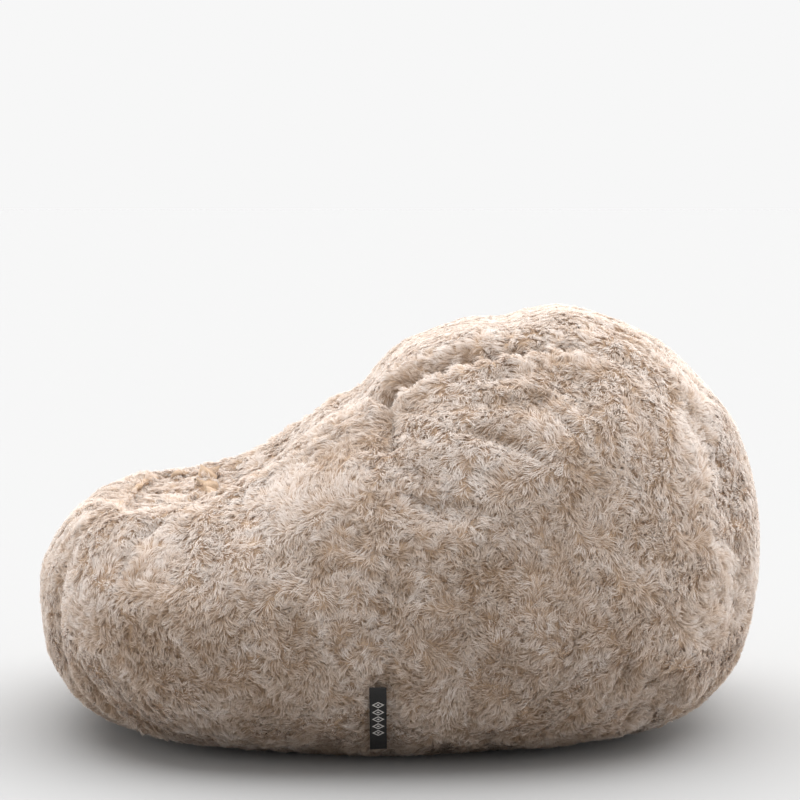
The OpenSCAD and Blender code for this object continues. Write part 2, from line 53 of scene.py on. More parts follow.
pilePanels = ["front_panel", "seat_panel", "back_panel", "rear_panel",
              "left_front_side_panel", "left_rear_side_panel",
              "right_front_side_panel", "right_rear_side_panel"]
basePanels = ["base_front_panel", "base_rear_panel"]
topSeams = ["left_top_seam", "right_top_seam"]
crossSeams = ["roll_seam", "seat_seam", "crown_seam"]
sideSeams = ["left_side_seam", "right_side_seam"]
bagMiddle = np.array([0.0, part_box("left_side_seam")[0][1] + 0.0012, 0.215])


def say(words):
    print("bean bag:", words)


def nothingSelected():
    if bpy.context.object and bpy.context.object.mode != "OBJECT":
        bpy.ops.object.mode_set(mode="OBJECT")
    bpy.ops.object.select_all(action="DESELECT")


def pick(*objects):
    nothingSelected()
    for o in objects:
        o.select_set(True)
    bpy.context.view_layer.objects.active = objects[-1]


def applyAll(obj):
    pick(obj)
    for m in list(obj.modifiers):
        bpy.ops.object.modifier_apply(modifier=m.name)


def coords(mesh):
    got = np.empty(len(mesh.vertices) * 3)
    mesh.vertices.foreach_get("co", got)
    return got.reshape(-1, 3)


def setCoords(mesh, places):
    mesh.vertices.foreach_set("co", places.ravel())
    mesh.update()


def normalsOf(mesh):
    got = np.empty(len(mesh.vertices) * 3)
    mesh.vertex_normals.foreach_get("vector", got)
    return got.reshape(-1, 3)


def unit(vectors):
    return vectors / np.maximum(np.linalg.norm(vectors, axis=1, keepdims=True), 1e-9)


# one repeatable number from -1 to 1 for each whole-number place
def hashed(cell, seed):
    h = (cell[:, 0] * 73856093) ^ (cell[:, 1] * 19349663) ^ (cell[:, 2] * 83492791) ^ (seed * 2654435)
    h = ((h ^ (h >> 13)) * 1274126177) & 0x7FFFFFFF
    h = ((h ^ (h >> 15)) * 668265263) & 0x7FFFFFFF
    return ((h ^ (h >> 11)) & 0xFFFFF) / 0x7FFFF - 1


def softNoise(points, size, seed):
    scaled = points / size + 1000
    cell = np.floor(scaled).astype(np.int64)
    part = scaled - cell
    part = part * part * (3 - 2 * part)
    total = np.zeros(len(points))
    for corner in range(8):
        step = np.array([corner & 1, corner >> 1 & 1, corner >> 2 & 1])
        share = np.prod(np.where(step, part, 1 - part), axis=1)
        total += share * hashed(cell + step, seed)
    return total


# a socket in a material: its operators add Math nodes
class Wire:
    def __init__(self, tree, socket):
        self.tree, self.socket = tree, socket

    def maths(self, operation, first, second):
        node = self.tree.nodes.new("ShaderNodeMath")
        node.operation = operation
        for slot, value in zip(node.inputs, (first, second)):
            if isinstance(value, Wire):
                self.tree.links.new(value.socket, slot)
            else:
                slot.default_value = value
        return Wire(self.tree, node.outputs[0])

    def __add__(self, other):
        return self.maths("ADD", self, other)

    def __radd__(self, other):
        return self.maths("ADD", other, self)

    def __sub__(self, other):
        return self.maths("SUBTRACT", self, other)

    def __rsub__(self, other):
        return self.maths("SUBTRACT", other, self)

    def __mul__(self, other):
        return self.maths("MULTIPLY", self, other)

    def __rmul__(self, other):
        return self.maths("MULTIPLY", other, self)

    def above(self, other):
        return self.maths("GREATER_THAN", self, other)

    def atLeast(self, other):
        return self.maths("MAXIMUM", self, other)

    def atMost(self, other):
        return self.maths("MINIMUM", self, other)

    def wave(self):
        return self.maths("SINE", self, 0)


# a material being built
class Finish:
    def __init__(self, name, world=None):
        self.material = world or bpy.data.materials.new(name)
        self.material.use_nodes = True
        self.tree = self.material.node_tree
        self.shader = self.tree.nodes["Background" if world else "Principled BSDF"]

    # any node: its settings first, then its sockets by name or number
    def node(self, kind, settings=None, stops=None, out=0, **sockets):
        made = self.tree.nodes.new("ShaderNode" + kind)
        for name, value in (settings or {}).items():
            setattr(made, name, value)
        if stops:
            ramp = made.color_ramp
            while len(ramp.elements) < len(stops):
                ramp.elements.new(0.5)
            for element, (place, colour) in zip(ramp.elements, stops):
                element.position = place
                element.color = (*colour, 1)
        for name, value in sockets.items():
            slot = made.inputs[int(name[1:]) if name[1:].isdigit() else name.replace("_", " ")]
            if isinstance(value, Wire):
                self.tree.links.new(value.socket, slot)
            else:
                slot.default_value = value
        return Wire(self.tree, made.outputs[out])

    def maths(self, operation, first, second=0.0):
        return first.maths(operation, first, second)

    def place(self, scale=(1, 1, 1)):
        spot = self.node("TexCoord", out=3)
        return self.node("Mapping", Vector=spot, Scale=scale)

    def axes(self, vector):
        apart = self.node("SeparateXYZ", Vector=vector)
        return [Wire(self.tree, apart.socket.node.outputs[k]) for k in range(3)]

    def feed(self, socket, value):
        slot = self.shader.inputs[socket]
        if isinstance(value, Wire):
            self.tree.links.new(value.socket, slot)
        else:
            slot.default_value = value

    def bump(self, height, strength, distance):
        self.feed("Normal", self.node("Bump", Height=height, Strength=strength, Distance=distance))


camera = {"distance": 3.2, "height": 0.70, "tilt": 4.92, "lens": 106.65}
light = {"sun": 4.6, "sunSpread": 100, "sunFrom": (-0.85, 0.3, 2.2), "paper": 0.433, "floorSize": 240}
sky = {"back": 0.93, "front": 0.30, "sides": 3.3, "top": 0.65, "backFrom": 0.62, "backSoft": 4.0,
       "sidesFrom": 0.22, "sidesSoft": 2.0, "lowLevel": 1.25, "fade": 2.2}


def makeCamera():
    data = bpy.data.cameras.new("camera")
    data.lens = camera["lens"]
    data.sensor_width = 36
    data.clip_end = 600
    eye = bpy.data.objects.new("camera", data)
    eye.location = (camera["distance"], 0, camera["height"])
    eye.rotation_euler = (math.radians(90 - camera["tilt"]), 0, math.radians(90))
    scene.collection.objects.link(eye)
    scene.camera = eye


def makeStudio():
    nothingSelected()
    bpy.ops.mesh.primitive_plane_add(size=light["floorSize"], location=(0, 0, 0))
    floor = bpy.context.object
    floor.name = "studio_floor"
    paper = Finish("studio_paper")
    paper.feed("Base Color", (light["paper"], light["paper"], light["paper"], 1))
    paper.feed("Roughness", 1.0)
    paper.feed("Specular IOR Level", 0.0)
    floor.data.materials.append(paper.material)
    # the air is bright behind the chair and low, dimmer overhead and dark in front
    world = bpy.data.worlds.new("studio_air")
    world.use_nodes = True
    air = Finish("air", world)
    east, north, up = air.axes(air.node("TexCoord"))
    behind = ((0 - east - sky["backFrom"]) * sky["backSoft"]).atLeast(0.0).atMost(1.0)
    level = (sky["lowLevel"] - up * sky["fade"]).atLeast(0.0).atMost(1.0)
    around = behind * (sky["back"] - sky["front"]) + sky["front"]
    sides = ((north * north - sky["sidesFrom"]) * sky["sidesSoft"]).atLeast(0.0).atMost(1.0)
    around = around + sides * (1 - east.atLeast(0.0)) * sky["sides"]
    air.feed("Color", (1, 1, 1, 1))
    air.feed("Strength", level * around + (1 - level) * sky["top"])
    scene.world = world
    data = bpy.data.lights.new("sun", "SUN")
    data.energy = light["sun"]
    data.angle = math.radians(light["sunSpread"])
    sun = bpy.data.objects.new("sun", data)
    sun.rotation_euler = Vector(light["sunFrom"]).to_track_quat("Z", "Y").to_euler()
    scene.collection.objects.link(sun)
    scene.view_settings.view_transform = "Standard"


# the bag under its pile: a remeshed and inflated copy of the CAD panels
bag = {"voxel": 0.006, "growth": 0.020, "easing": 6, "smoothing": 4, "outward": 0.35, "rootDepth": 0.0085,
       "footHeight": 0.07, "floorGap": 0.003, "backing": 0.0025}
# the cloth that puffs the bag: it is held along the seams and at the foot
puff = {"frames": 14, "pressure": 4.0, "quality": 5, "mass": 0.3, "tension": 12, "bending": 1.0,
        "shrink": -0.03, "cap": 0.010, "heldAlong": 0.016, "heldBelow": 0.012}
# grooves along the seams, with the roll outside each top seam and the pillow inside it
seams = {"depth": 0.004, "width": 0.010, "crossDepth": 0.004, "valley": 0.021, "valleyWidth": 0.016,
         "roll": 0.007, "rollAt": 1.7, "pillow": 0.014, "hollow": 0.010, "innerHalf": 0.205,
         "frontRoll": 0.014}
# where along the bag each of those works: from, to and how softly it starts
reaches = {"upper": (-0.40, 0.25, 0.12), "pillow": (-0.05, 0.15, 0.06), "hollow": (-0.34, -0.09, 0.08),
           "front": (-0.475, -0.30, 0.06), "frontHeight": (0.20, 0.40, 0.07)}
upperFrom = 0.20
pillowFrom = 0.30
crestFrom = 0.36
# soft creases in the sides, as runs of (y, z)
creases = [
    {"run": [(0.015, 0.440), (0.060, 0.448), (0.110, 0.452), (0.170, 0.446)], "depth": 0.007,
     "width": 0.013, "from": 0.20},
    {"run": [(0.070, 0.424), (0.098, 0.416), (0.125, 0.408)], "depth": 0.005, "width": 0.011, "from": 0.22},
    {"run": [(-0.100, 0.372), (-0.050, 0.398), (-0.010, 0.420)], "depth": 0.004, "width": 0.016,
     "from": 0.22}]


def copyOf(name):
    twin = nodes[name].copy()
    twin.data = nodes[name].data.copy()
    twin.parent = None
    scene.collection.objects.link(twin)
    return twin


def seamTree(names):
    points = np.concatenate([coords(nodes[n].data) for n in names])
    tree = KDTree(len(points))
    for k, p in enumerate(points):
        tree.insert(p, k)
    tree.balance()
    return tree


def distances(tree, points):
    return np.array([tree.find(p)[2] for p in points])


def makeBag():
    shells = [copyOf(n) for n in pilePanels + basePanels]
    pick(*shells)
    bpy.ops.object.join()
    cover = bpy.context.object
    # only the faces that look outwards stay
    bm = bmesh.new()
    bm.from_mesh(cover.data)
    middle = Vector(bagMiddle)
    inner = [f for f in bm.faces
             if f.normal.dot((f.calc_center_median() - middle).normalized()) < bag["outward"]]
    bmesh.ops.delete(bm, geom=inner, context="FACES")
    bm.to_mesh(cover.data)
    bm.free()
    # the skin starts as the bead fill, grows and wraps the inside of that cover
    skin = copyOf("bean_fill")
    skin.name = "bag_skin"
    remesh = skin.modifiers.new("remesh", "REMESH")
    remesh.mode = "VOXEL"
    remesh.voxel_size = bag["voxel"]
    applyAll(skin)
    grow = skin.modifiers.new("grow", "DISPLACE")
    grow.strength = bag["growth"]
    grow.mid_level = 0
    ease = skin.modifiers.new("ease", "SMOOTH")
    ease.iterations = bag["easing"]
    wrap = skin.modifiers.new("wrap", "SHRINKWRAP")
    wrap.target = cover
    wrap.wrap_method = "NEAREST_SURFACEPOINT"
    smooth = skin.modifiers.new("smooth", "SMOOTH")
    smooth.iterations = bag["smoothing"]
    applyAll(skin)
    bpy.data.objects.remove(cover)
    say(f"skin has {len(skin.data.vertices)} points")
    return skin


def sinkToRoots(skin):
    places = coords(skin.data) - normalsOf(skin.data) * bag["rootDepth"]
    low = np.clip(1 - places[:, 2] / bag["footHeight"], 0, 1)
    places[:, 2] -= low * (bag["rootDepth"] - bag["floorGap"])
    places[:, 2] = np.maximum(places[:, 2], bag["floorGap"])
    setCoords(skin.data, places)


def inflate(skin, held):
    start = coords(skin.data)
    group = skin.vertex_groups.new(name="held")
    group.add([int(k) for k in np.nonzero(held)[0]], 1.0, "REPLACE")
    cloth = skin.modifiers.new("cloth", "CLOTH")
    cloth.settings.quality = puff["quality"]
    cloth.settings.mass = puff["mass"]
    cloth.settings.vertex_group_mass = "held"
    cloth.settings.use_pressure = True
    cloth.settings.uniform_pressure_force = puff["pressure"]
    cloth.settings.effector_weights.gravity = 0
    cloth.settings.tension_stiffness = puff["tension"]
    cloth.settings.bending_stiffness = puff["bending"]
    cloth.settings.shrink_min = puff["shrink"]
    cloth.collision_settings.use_collision = False
    cloth.collision_settings.use_self_collision = False
    for f in range(1, puff["frames"] + 1):
        scene.frame_set(f)
    applyAll(skin)
    scene.frame_set(1)
    moved = coords(skin.data) - start
    far = np.linalg.norm(moved, axis=1, keepdims=True)
    say(f"cloth moved up to {far.max() * 1000:.1f} mm")
    places = start + moved * np.minimum(1, puff["cap"] / np.maximum(far, 1e-9))
    places[:, 2] = np.maximum(places[:, 2], bag["floorGap"])
    setCoords(skin.data, places)


def window(values, low, high, soft):
    rise = np.clip((values - low) / soft, 0, 1)
    fall = np.clip((high - values) / soft, 0, 1)
    both = np.minimum(rise, fall)
    return both * both * (3 - 2 * both)


# across a line: its distance from each point, without the thread's own depth
def beside(names, places):
    away = distances(seamTree(names), places)
    return np.sqrt(np.maximum(away ** 2 - away.min() ** 2, 0))


def creaseDistance(places, run):
    spots = np.array(run)
    near = np.full(len(places), 9.0)
    for start, end in zip(spots[:-1], spots[1:]):
        way = end - start
        here = places[:, 1:] - start
        share = np.clip(here @ way / (way @ way), 0, 1)
        near = np.minimum(near, np.linalg.norm(here - share[:, None] * way, axis=1))
    return near


# grooves, rolls and creases move the skin along its normals; how the pile parts there is kept for its tone:
# partly its darker roots showing at the seams, partly painted shade in the grooves, valleys and creases
def pinchSeams(skin):
    places, out = coords(skin.data), normalsOf(skin.data)
    start = places
    along, height = places[:, 1], places[:, 2]
    width = seams["valleyWidth"]
    across = beside(topSeams, places)
    wide = np.abs(places[:, 0])
    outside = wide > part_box("left_top_seam")[0][0]
    upper = (height > upperFrom) * window(along, *reaches["upper"])
    deep = seams["depth"] + seams["valley"] * upper
    groove = np.exp(-(across / width) ** 2)
    move = -deep * groove
    roll = np.exp(-((across - seams["rollAt"] * width) / width) ** 2)
    move += np.where(outside, seams["roll"] * roll * upper, 0)
    # the pillow of the backrest and the hollow of the seat, both inside the grooves
    inner = 1 - np.clip(wide / seams["innerHalf"], 0, 1) ** 6
    move += seams["pillow"] * inner * (height > pillowFrom) * window(along, *reaches["pillow"])
    move -= seams["hollow"] * inner * (height > upperFrom) * window(along, *reaches["hollow"])
    # painted shade: the pile is darkened in the top seam grooves, most in the deep valleys of the upper bag
    partingAndShade = groove * (0.25 + 0.45 * upper)
    crossing = np.exp(-(beside(crossSeams, places) / seams["width"]) ** 2)
    # a side seam fades towards the crest
    siding = np.exp(-(beside(sideSeams, places) / seams["width"]) ** 2)
    siding = siding * (1 - 0.7 * upper * (height > crestFrom))
    move -= seams["crossDepth"] * crossing + 0.6 * seams["depth"] * siding
    # the pile also darkens at the cross and side seams: partly its roots showing, partly painted shade
    partingAndShade = np.maximum(partingAndShade, np.maximum(0.4 * crossing, 0.5 * siding))
    for line in creases:
        fold = np.exp(-(creaseDistance(places, line["run"]) / line["width"]) ** 2)
        left = fold * (places[:, 0] > line["from"])
        right = fold * (places[:, 0] < -line["from"]) * 0.6
        move -= line["depth"] * (left + right)
        # painted shade: the pile is darkened along each crease
        partingAndShade = np.maximum(partingAndShade, 0.6 * (left + right))
    places = places + out * move[:, None]
    lifted = window(start[:, 1], *reaches["front"]) * window(start[:, 2], *reaches["frontHeight"])
    places[:, 2] += seams["frontRoll"] * lifted
    setCoords(skin.data, places)
    kept = skin.data.attributes.new("partingAndShade", "FLOAT", "POINT")
    kept.data.foreach_set("value", partingAndShade)


def partingAndShadeOf(mesh):
    got = np.empty(len(mesh.vertices))
    mesh.attributes["partingAndShade"].data.foreach_get("value", got)
    return got


def splitPanels(skin):
    trees = []
    for name in pilePanels + basePanels:
        mesh = nodes[name].data
        trees.append(BVHTree.FromPolygons([v.co for v in mesh.vertices], [p.vertices for p in mesh.polygons]))
    owner = []
    for p in skin.data.polygons:
        away = [t.find_nearest(p.center)[3] for t in trees]
        owner.append(int(np.argmin(away)))
    return np.array(owner)


def panelPiece(skin, owner, index, name):
    mesh = skin.data
    faces = np.nonzero(owner == index)[0]
    bm = bmesh.new()
    bm.from_mesh(mesh)
    bm.faces.ensure_lookup_table()
    keep = set(int(f) for f in faces)
    bmesh.ops.delete(bm, geom=[f for f in bm.faces if f.index not in keep], context="FACES")
    made = bpy.data.meshes.new(name)
    bm.to_mesh(made)
    bm.free()
    piece = bpy.data.objects.new(name, made)
    scene.collection.objects.link(piece)
    return piece


# the pile: tapered, waved blades that lie over each other in clumps
# two of these measures are painted light: how much paler the pile is made where it faces up and at the ends
pile = {"blades": 560000, "mostInPiece": 64000, "length": 0.0125, "width": 0.00120, "lift": 0.0056,
        "leastLift": 0.003, "mostLift": 0.020, "clump": 0.0048, "gather": 0.40, "curl": 0.0052,
        "paintedLightTop": 0.40, "paintedLightEnds": 0.42, "leastHeight": 0.0012}
# how far each measure strays, for a whole tuft and for a single blade
stray = {"spin": (0.45, 0.18), "length": (0.10, 0.10), "lift": (0.12, 0.10), "tone": (0.15, 0.10),
         "curl": (0.55, 0.2), "roll": 0.45, "width": 0.15}
# the way the pile is combed, and the slow and quick swirls in it as (size, strength, seed)
comb = {"way": (0, -0.35, -0.94), "slow": (0.060, 3.4, 11), "quick": (0.022, 2.0, 31), "byTuft": 0.72}
patches = {"slow": (0.075, 0.6, 51), "quick": (0.030, 0.5, 61), "curl": (0.024, 1.2, 71)}
# a blade's three stations: how far along, how much of its height, how much of its width each side
stations = {"along": (0.0, 0.52, 1.0), "rise": (0.0, 0.86, 0.95), "half": (0.50, 0.42), "reach": 0.88}


# evenly spread places on a mesh: the roots, the directions out of it and how the pile parts there, with the
# painted shade of grooves and creases
def scatter(mesh, rng, count):
    mesh.calc_loop_triangles()
    tri = np.empty(len(mesh.loop_triangles) * 3, int)
    mesh.loop_triangles.foreach_get("vertices", tri)
    tri = tri.reshape(-1, 3)
    at, out = coords(mesh), normalsOf(mesh)
    a, b, c = at[tri[:, 0]], at[tri[:, 1]], at[tri[:, 2]]
    area = np.linalg.norm(np.cross(b - a, c - a), axis=1) / 2
    chosen = rng.choice(len(tri), size=count, p=area / area.sum())
    u, v = rng.random(count), rng.random(count)
    turn = u + v > 1
    u[turn], v[turn] = 1 - u[turn], 1 - v[turn]
    w = 1 - u - v

    def blend(values):
        return (values[tri[chosen, 0]] * w[:, None] + values[tri[chosen, 1]] * u[:, None]
                + values[tri[chosen, 2]] * v[:, None])
    return blend(at), unit(blend(out)), blend(partingAndShadeOf(mesh)[:, None])[:, 0], area.sum()


def waves(points, wave):
    size, strength, seed = wave
    return softNoise(points, size, seed) * strength


def combed(points, normal):
    way = np.array(comb["way"])
    down = unit(way - normal * (normal @ way)[:, None])
    angle = waves(points, comb["slow"]) + waves(points, comb["quick"])
    return down * np.cos(angle)[:, None] + np.cross(normal, down) * np.sin(angle)[:, None]


# five points and two faces for each blade
def bladeMesh(name, points, shade, up, tone):
    count = len(points)
    base = (np.arange(count) * 5)[:, None]
    flipped = np.sum(np.cross(points[:, 1] - points[:, 0], points[:, 2] - points[:, 0]) * up, axis=1) < 0
    loops = np.where(flipped[:, None], base + np.array([0, 2, 3, 1, 2, 4, 3]),
                     base + np.array([0, 1, 3, 2, 2, 3, 4]))
    made = bpy.data.meshes.new(name)
    made.vertices.add(count * 5)
    made.loops.add(count * 7)
    made.polygons.add(count * 2)
    made.vertices.foreach_set("co", points.ravel())
    made.loops.foreach_set("vertex_index", loops.ravel().astype(np.int32))
    starts = (np.arange(count) * 7)[:, None] + np.array([0, 4])
    made.polygons.foreach_set("loop_start", starts.ravel().astype(np.int32))
    made.polygons.foreach_set("use_smooth", np.ones(count * 2, bool))
    made.update(calc_edges=True)
    # u holds the blade's tone and v the share of its length
    layer = made.uv_layers.new(name="OFBake")
    which = loops.ravel() % 5
    blade = loops.ravel() // 5
    along = np.array([0.02, 0.02, 0.52, 0.52, 0.98])[which]
    sideways = np.array([-1, 1, -1, 1, 0])[which] * 0.003
    layer.uv.foreach_set("vector", np.stack([tone[blade] + sideways, along], axis=1).ravel())
    made.normals_split_custom_set_from_vertices(shade.reshape(-1, 3))
    return made


def growPile(panel, name, count, seed):
    rng = np.random.default_rng(seed)
    root, up, partingAndShade, area = scatter(panel.data, rng, count)
    # clumps: every blade belongs to its nearest tuft
    tufts = max(20, int(area / (math.pi * pile["clump"] ** 2)))
    centres = root[rng.choice(count, tufts, replace=False)]
    tree = KDTree(tufts)
    for k, p in enumerate(centres):
        tree.insert(p, k)
    tree.balance()
    tuft = np.array([tree.find(p)[1] for p in root])

    def strays(measure):
        ofTuft, ofBlade = stray[measure]
        return rng.normal(0, ofTuft, tufts)[tuft] + rng.normal(0, ofBlade, count)

    ahead = combed(centres[tuft], up) * comb["byTuft"] + combed(root, up) * (1 - comb["byTuft"])
    spin = strays("spin")[:, None]
    ahead = unit(ahead - up * np.sum(ahead * up, axis=1, keepdims=True))
    aside = np.cross(up, ahead)
    ahead = unit(ahead * np.cos(spin) + aside * np.sin(spin))
    aside = np.cross(up, ahead)
    # length, height and tone vary by patch, by tuft and by blade
    patch = waves(root, patches["slow"]) + waves(root, patches["quick"])
    length = pile["length"] * (1 + strays("length"))
    lift = pile["lift"] * (1 + strays("lift"))
    lift = np.clip(lift, pile["leastLift"], pile["mostLift"]) * (1 - 0.30 * np.clip(up[:, 2], 0, 1))
    # the pile darkens where the skin parts or folds: partly its darker roots at the seams, partly painted
    # shade in grooves and creases
    tone = 0.46 + 0.34 * patch + strays("tone") - 0.45 * partingAndShade
    tone += 0.14 * np.clip(lift / pile["lift"] - 1, -1, 1)
    # painted light: the pile that faces up or out at the ends is made the palest, where the light falls
    # strongest
    upward = np.clip((up[:, 2] - 0.12) / 0.55, 0, 1)
    endward = np.clip((np.abs(up[:, 1]) - 0.45) / 0.5, 0, 1) * np.clip(root[:, 2] / 0.2, 0, 1)
    tone += pile["paintedLightTop"] * upward + pile["paintedLightEnds"] * endward
    tone = np.clip(tone, 0.02, 0.98)
    curl = pile["curl"] * (waves(root, patches["curl"]) + strays("curl"))
    inward = centres[tuft] - root
    gather = pile["gather"] * (inward - up * np.sum(inward * up, axis=1)[:, None])
    spine = []
    for share, rise in zip(stations["along"], stations["rise"]):
        bend = curl * share * share
        forward = ahead * (length * share * stations["reach"])[:, None]
        spine.append(root + forward + up * (lift * rise)[:, None] + aside * bend[:, None] + gather * share)
    roll = rng.normal(0, stray["roll"], count)[:, None]
    across = aside * np.cos(roll) + up * np.sin(roll)
    width = (pile["width"] * (1 + rng.normal(0, stray["width"], count)))[:, None]
    points = np.empty((count, 5, 3))
    for k, half in enumerate(stations["half"]):
        points[:, 2 * k] = spine[k] - across * width * half
        points[:, 2 * k + 1] = spine[k] + across * width * half
    points[:, 4] = spine[2]
    points[:, :, 2] = np.maximum(points[:, :, 2], pile["leastHeight"])
    # each strand is lit as if it were round
    facing = unit(np.cross(spine[2] - spine[0], across))
    facing *= np.sign(np.sum(facing * up, axis=1, keepdims=True) + 1e-9)
    body = unit(up * 0.75 + facing * 0.25)
    shade = np.empty((count, 5, 3))
    for k in range(2):
        shade[:, 2 * k] = unit(body - across * 0.40)
        shade[:, 2 * k + 1] = unit(body + across * 0.40)
    shade[:, 4] = body
    piece = bpy.data.objects.new(name, bladeMesh(name, points, shade, up, tone))
    scene.collection.objects.link(piece)
    return piece


pileColours = {
    "strand": [(0.0, (0.33, 0.205, 0.115)), (0.30, (0.50, 0.36, 0.245)), (0.60, (0.72, 0.585, 0.475)),
               (1.0, (0.95, 0.89, 0.84))],
    "root": [(0.0, (0.25, 0.15, 0.082)), (1.0, (0.72, 0.60, 0.50))],
    "frost": (0.97, 0.92, 0.885, 1), "mostFrost": 0.66,
    "through": (0.88, 0.80, 0.735, 1), "throughShare": 0.38}


def pileLook():
    look = Finish("long_pile")
    spot = look.node("UVMap", {"uv_map": "OFBake"})
    tone, along, _ = look.axes(spot)
    strand = look.node("ValToRGB", stops=pileColours["strand"], Fac=tone)
    roots = look.node("ValToRGB", stops=pileColours["root"], Fac=tone)
    climb = (along * 1.6).atMost(1.0)
    lower = look.node("Mix", {"data_type": "RGBA"}, out=2, Factor=climb, A=roots, B=strand)
    frost = ((along - 0.50) * 1.5).atLeast(0.0).atMost(pileColours["mostFrost"])
    colour = look.node("Mix", {"data_type": "RGBA"}, out=2, Factor=frost, A=lower, B=pileColours["frost"])
    look.feed("Base Color", colour)
    look.feed("Roughness", 0.75)
    look.feed("Specular IOR Level", 0.08)
    # light also comes through the strands from behind
    through = look.node("BsdfTranslucent", Color=pileColours["through"])
    both = look.node("MixShader", i0=pileColours["throughShare"],
                     i1=Wire(look.tree, look.shader.outputs[0]), i2=through)
    look.tree.links.new(both.socket, look.tree.nodes["Material Output"].inputs["Surface"])
    return look.material


def backingLook():
    look = Finish("pile_backing")
    spot = look.place()
    patches = look.node("TexNoise", Vector=spot, Scale=14.0, Detail=4.0)
    strands = look.node("TexNoise", Vector=look.place((1, 1, 0.35)), Scale=420.0, Detail=3.0)
    # the backing's brown, darker than most of the pile, is partly its own colour and partly painted shade
    # deep in the pile
    colour = look.node("ValToRGB", stops=[(0.30, (0.42, 0.29, 0.19)), (0.55, (0.58, 0.43, 0.31)),
                                          (0.75, (0.74, 0.60, 0.48))], Fac=patches * 0.6 + strands * 0.4)
    look.feed("Base Color", colour)
    look.feed("Roughness", 0.95)
    look.bump(strands, 0.6, 0.002)
    return look.material


# the woven side label: it follows the side just in front of its seam
label = {"top": 0.122, "bottom": 0.0350, "width": 0.0205, "proud": 0.0015, "curl": 0.0020,
         "thickness": 0.0011, "edge": 0.0003, "ripple": 0.0007, "rows": 30, "columns": 8}


def makeLabel(skin):
    tree = BVHTree.FromPolygons([v.co for v in skin.data.vertices], [p.vertices for p in skin.data.polygons])
    nothingSelected()
    bpy.ops.mesh.primitive_grid_add(x_subdivisions=label["columns"], y_subdivisions=label["rows"], size=1)
    flap = bpy.context.object
    flap.name = "side_label_flap"
    grid = coords(flap.data)
    share, height = grid[:, 0] + 0.5, grid[:, 1] + 0.5
    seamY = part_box("side_label")[1][1]
    levels = label["bottom"] + (label["top"] - label["bottom"]) * np.linspace(0, 1, label["rows"] + 1)
    line = []
    for z in levels:
        hit, normal, _, _ = tree.ray_cast(Vector((0.7, seamY - label["width"] * 1.2, z)), Vector((-1, 0, 0)))
        place = hit + normal * (bag["rootDepth"] + label["proud"])
        line.append((place.x, place.z))
    line = np.array(line)
    for _ in range(6):
        line[1:-1] = (line[:-2] + line[1:-1] * 2 + line[2:]) / 4
    row = height * label["rows"]
    x = np.interp(row, range(len(line)), line[:, 0])
    z = np.interp(row, range(len(line)), line[:, 1])
    ripple = label["ripple"] * np.sin(height * 7.0 + 0.6) * share
    x = x + label["curl"] * share ** 2 + ripple
    y = seamY - label["width"] * share
    setCoords(flap.data, np.stack([x, y, z], axis=1))
    layer = flap.data.uv_layers[0]
    layer.name = "weave"
    pick(flap)
    bpy.ops.object.mode_set(mode="EDIT")
    bpy.ops.mesh.select_all(action="SELECT")
    bpy.ops.mesh.normals_make_consistent(inside=False)
    bpy.ops.object.mode_set(mode="OBJECT")
    if np.mean([p.normal.x for p in flap.data.polygons]) < 0:
        flap.data.flip_normals()
    thick = flap.modifiers.new("thickness", "SOLIDIFY")
    thick.thickness = label["thickness"]
    thick.offset = 0
    edge = flap.modifiers.new("edge", "BEVEL")
    edge.width = label["edge"]
    edge.segments = 2
    applyAll(flap)
    bpy.ops.object.shade_smooth_by_angle()
    return flap


def wovenLabelLook():
    look = Finish("woven_label")
    u, v, _ = look.axes(look.node("UVMap", {"uv_map": "weave"}))
    # five small diamonds in a row, each an outline around a dot
    along = (v - 0.22) * 8.9
    middle = along - look.maths("FLOOR", along) - 0.5
    within = v.above(0.22) * (0.78 - v).above(0.0)
    spread = look.maths("ABSOLUTE", u - 0.5) * 2.6 + look.maths("ABSOLUTE", middle) * 2.2
    outline = (0.96 - spread).above(0.0) * spread.above(0.66)
    dot = (0.26 - spread).above(0.0)
    motif = (outline + dot) * within
    warp = (v * 1650).wave() * 0.5 + 0.5
    weft = (u * 420).wave() * 0.5 + 0.5
    grain = warp * weft
    ground = look.node("ValToRGB", stops=[(0.0, (0.006, 0.0055, 0.005)), (1.0, (0.028, 0.026, 0.025))],
                       Fac=grain)
    colour = look.node("Mix", {"data_type": "RGBA"}, out=2, Factor=motif, A=ground, B=(0.55, 0.53, 0.50, 1))
    look.feed("Base Color", colour)
    look.feed("Roughness", 0.42 + 0.2 * grain)
    look.feed("Specular IOR Level", 0.4)
    look.bump(grain + motif * 0.8, 0.5, 0.0002)
    return look.material


# every CAD node that still shows gets its own finish
plainCloth = {
    "base_fabric": {"dark": (0.045, 0.039, 0.034), "pale": (0.105, 0.092, 0.080),
                    "pitch": 1500, "rough": 0.92},
    "liner_fabric": {"dark": (0.62, 0.61, 0.57), "pale": (0.84, 0.83, 0.79), "pitch": 5200, "rough": 0.80},
    "printed_label": {"dark": (0.70, 0.70, 0.68), "pale": (0.86, 0.86, 0.84), "pitch": 9000, "rough": 0.50}}
yarns = {
    "sewing_thread": {"dark": (0.17, 0.125, 0.095), "pale": (0.36, 0.29, 0.235), "rough": 0.75},
    "liner_thread": {"dark": (0.58, 0.57, 0.53), "pale": (0.82, 0.81, 0.77), "rough": 0.75}}
chains = {
    "cover_zip": {"dark": (0.018, 0.016, 0.015), "pale": (0.050, 0.045, 0.042), "rough": 0.45},
    "liner_zip": {"dark": (0.62, 0.61, 0.58), "pale": (0.80, 0.79, 0.76), "rough": 0.45}}


